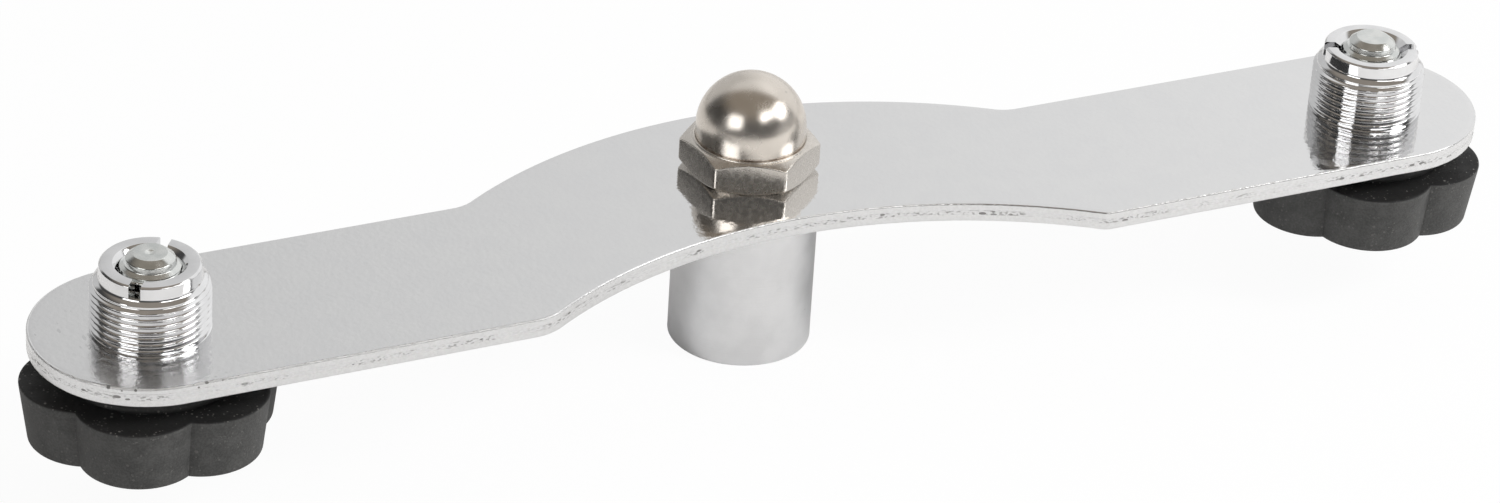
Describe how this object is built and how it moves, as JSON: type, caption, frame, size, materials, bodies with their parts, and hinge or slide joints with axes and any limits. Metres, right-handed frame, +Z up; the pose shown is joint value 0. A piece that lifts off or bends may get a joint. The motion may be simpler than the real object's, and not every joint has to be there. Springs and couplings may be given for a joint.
{
  "type": "twin microphone bar",
  "caption": "Bowed flat chromed bar that carries microphones side by side on one stand, with a threaded stand socket, a domed cap nut, threaded sleeves and lobed clamping knobs.",
  "frame": {"origin": "centre of the stand socket's mouth, in the adapter's lower face", "axes": "+Z up the socket's axis and towards the microphones, +X along the bar, +Y towards the side that the bar's middle bows out to"},
  "size_m": [0.217, 0.0455, 0.0403],
  "materials": {
    "bar_chrome": "bright chrome plating on blanked steel",
    "adapter_metal": "satin turned metal",
    "stud_steel": "dark threaded steel",
    "nut_nickel": "warm nickel plating, polished dome and tumbled hexagon",
    "sleeve_chrome": "bright chrome plating on a cut thread",
    "washer_plastic": "smooth black plastic",
    "knob_plastic": "matte rubbery dark grey plastic",
    "bolt_zinc": "bright zinc plating"
  },
  "bodies": {
    "stand_fitting": {"stand_adapter": "adapter_metal", "centre_stud": "stud_steel", "cap_nut_hex": "nut_nickel", "cap_nut_dome": "nut_nickel"},
    "bar": {"bar": "bar_chrome"},
    "left_sleeve": {"left_sleeve": "sleeve_chrome"},
    "right_sleeve": {"right_sleeve": "sleeve_chrome"},
    "left_washer": {"left_washer": "washer_plastic"},
    "right_washer": {"right_washer": "washer_plastic"},
    "left_knob": {"left_knob": "knob_plastic", "left_knob_bolt": "bolt_zinc"},
    "right_knob": {"right_knob": "knob_plastic", "right_knob_bolt": "bolt_zinc"}
  },
  "joints": [
    {"name": "bar_swivel", "type": "hinge", "parent": "stand_fitting", "child": "bar", "pos_m": [0, 0, 0.0236], "axis": [0, 0, 1], "continuous": true},
    {"name": "left_sleeve_turn", "type": "hinge", "parent": "bar", "child": "left_sleeve", "pos_m": [-0.091, -0.0128, 0.0263], "axis": [0, 0, 1], "continuous": true},
    {"name": "right_sleeve_turn", "type": "hinge", "parent": "bar", "child": "right_sleeve", "pos_m": [0.091, -0.0128, 0.0263], "axis": [0, 0, 1], "continuous": true},
    {"name": "left_washer_drop", "type": "slide", "parent": "bar", "child": "left_washer", "axis": [0, 0, -1], "range_m": [0, 0.00751]},
    {"name": "left_knob_unscrew", "type": "hinge", "parent": "left_washer", "child": "left_knob", "pos_m": [-0.091, -0.0128, 0.0224], "axis": [0, 0, -1], "range_deg": [0, 2160]},
    {"name": "right_washer_drop", "type": "slide", "parent": "bar", "child": "right_washer", "axis": [0, 0, -1], "range_m": [0, 0.00751]},
    {"name": "right_knob_unscrew", "type": "hinge", "parent": "right_washer", "child": "right_knob", "pos_m": [0.091, -0.0128, 0.0224], "axis": [0, 0, -1], "range_deg": [0, 2160]}
  ],
  "couplings": [
    {"joint": "left_washer_drop", "follows": "left_knob_unscrew", "m_per_rad": 0.00019894},
    {"joint": "right_washer_drop", "follows": "right_knob_unscrew", "m_per_rad": 0.00019894}
  ]
}
